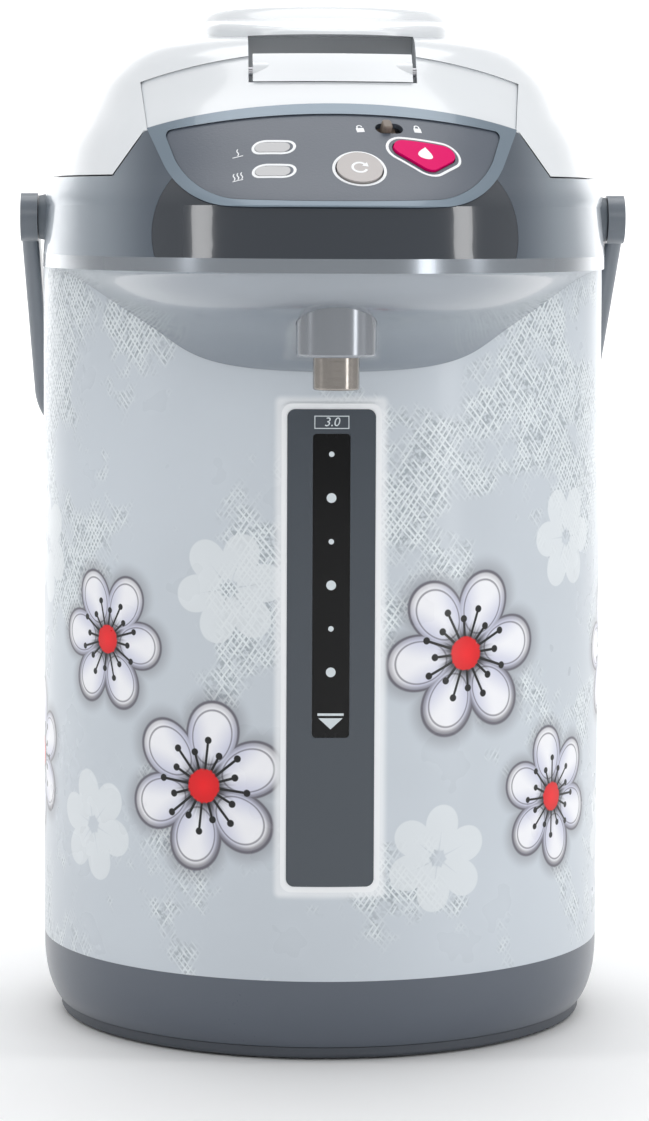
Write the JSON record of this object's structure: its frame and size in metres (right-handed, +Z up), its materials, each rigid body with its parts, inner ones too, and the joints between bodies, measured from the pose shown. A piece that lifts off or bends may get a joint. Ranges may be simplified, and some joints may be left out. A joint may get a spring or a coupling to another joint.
{
  "type": "electric thermo pot",
  "caption": "Electric thermo pot with a hooded pump spout, sloped control panel, hinged latching lid, bail handle, water level gauge and swivel base.",
  "frame": {"origin": "centre of the foot ring, on the surface that the pot stands on", "axes": "+Z up along the pot's axis, front with nozzle and controls towards -Y, lid hinge and power inlet towards +Y"},
  "size_m": [0.2118, 0.2699, 0.3502],
  "materials": {
    "foot_rubber": "matt",
    "base_plastic": "matt",
    "skirt_plastic": "semi-gloss",
    "casing_steel": "satin, printed",
    "hood_plastic": "pearl",
    "shoulder_plastic": "pearl",
    "fascia_plastic": "high gloss",
    "bezel_plastic": "satin",
    "panel_plastic": "satin",
    "lamp_lens": "gloss",
    "pump_pad": "gloss",
    "reboil_pad": "gloss",
    "slider_plastic": "satin",
    "nozzle_plastic": "satin",
    "gauge_border": "gloss",
    "gauge_slate": "satin",
    "gauge_clear": "clear",
    "handle_plastic": "satin",
    "boss_plastic": "satin",
    "lid_plastic": "gloss",
    "lid_inner_plastic": "satin",
    "pot_steel": "brushed",
    "pin_steel": "ground",
    "silicone": "matt",
    "inlet_plastic": "matt",
    "contact_brass": "polished",
    "heater_alloy": "cast",
    "pump_plastic": "matt",
    "board": "satin"
  },
  "bodies": {
    "base": {"foot_ring": "foot_rubber", "swivel_plate": "base_plastic", "swivel_retainer": "base_plastic"},
    "pot": {"base_skirt": "skirt_plastic", "bottom_cover": "base_plastic", "base_screws": "pin_steel", "power_inlet": "inlet_plastic", "inlet_pins": "contact_brass", "gauge_trim": "gauge_border", "gauge_cover": "gauge_slate", "gauge_window": "gauge_clear", "outer_casing": "casing_steel", "hood_collar": "hood_plastic", "shoulder_housing": "shoulder_plastic", "front_fascia": "fascia_plastic", "left_handle_boss": "boss_plastic", "right_handle_boss": "boss_plastic", "panel_bezel": "bezel_plastic", "control_panel": "panel_plastic", "warm_lamp": "lamp_lens", "boil_lamp": "lamp_lens", "control_board": "board", "button_switches": "inlet_plastic", "pump_spring": "pin_steel", "reboil_spring": "pin_steel", "nozzle_boss": "nozzle_plastic", "nozzle_tube": "nozzle_plastic", "inner_pot": "pot_steel", "mouth_ring": "lid_inner_plastic", "strainer": "pot_steel", "base_heater": "heater_alloy", "thermostat": "inlet_plastic", "band_heater": "pot_steel", "pump_motor": "pin_steel", "pump_housing": "pump_plastic", "suction_pipe": "silicone", "delivery_pipe": "silicone", "level_tube": "gauge_clear", "spout_pipe": "silicone", "power_board": "board", "hinge_pin": "pin_steel"},
    "handle": {"handle": "handle_plastic"},
    "lid": {"lid_cover": "lid_plastic", "lid_apron": "lid_plastic", "lid_base": "lid_inner_plastic", "lid_gasket": "silicone", "inner_lid": "pot_steel", "steam_tube": "lid_inner_plastic", "vent_cap": "lid_plastic", "latch_pin": "pin_steel", "latch_spring": "pin_steel"},
    "latch": {"lid_latch": "lid_plastic"},
    "pump_button": {"pump_button": "pump_pad"},
    "reboil_button": {"reboil_button": "reboil_pad"},
    "lock_slider": {"lock_slider": "slider_plastic"},
    "impeller": {"impeller": "pump_plastic"}
  },
  "joints": [
    {"name": "swivel", "type": "hinge", "parent": "base", "child": "pot", "pos_m": [0, 0, 0], "axis": [0, 0, 1], "continuous": true},
    {"name": "handle_hinge", "type": "hinge", "parent": "pot", "child": "handle", "pos_m": [0, 0, 0.2795], "axis": [1, 0, 0], "range_deg": [0, 208]},
    {"name": "lid_hinge", "type": "hinge", "parent": "pot", "child": "lid", "pos_m": [0, 0.102, 0.298], "axis": [-1, 0, 0], "range_deg": [0, 85]},
    {"name": "latch_hinge", "type": "hinge", "parent": "lid", "child": "latch", "pos_m": [0, -0.09, 0.327], "axis": [-1, 0, 0], "range_deg": [0, 8], "stiffness_Nm_per_rad": 0.4, "springref_deg": -8.59, "deforming": ["latch_spring"]},
    {"name": "pump_press", "type": "slide", "parent": "pot", "child": "pump_button", "axis": [-0.2759, 0.6211, -0.7335], "range_m": [0, 0.002], "stiffness_N_per_m": 500, "springref_m": -0.002, "deforming": ["pump_spring"]},
    {"name": "reboil_press", "type": "slide", "parent": "pot", "child": "reboil_button", "axis": [-0.0684, 0.639, -0.7661], "range_m": [0, 0.0015], "stiffness_N_per_m": 500, "springref_m": -0.002, "deforming": ["reboil_spring"]},
    {"name": "lock_slide", "type": "slide", "parent": "pot", "child": "lock_slider", "axis": [0.9695, 0.2451, 0], "range_m": [0, 0.0034]},
    {"name": "impeller_spin", "type": "hinge", "parent": "pot", "child": "impeller", "pos_m": [0, -0.036, 0.04], "axis": [0, 0, 1], "continuous": true}
  ]
}
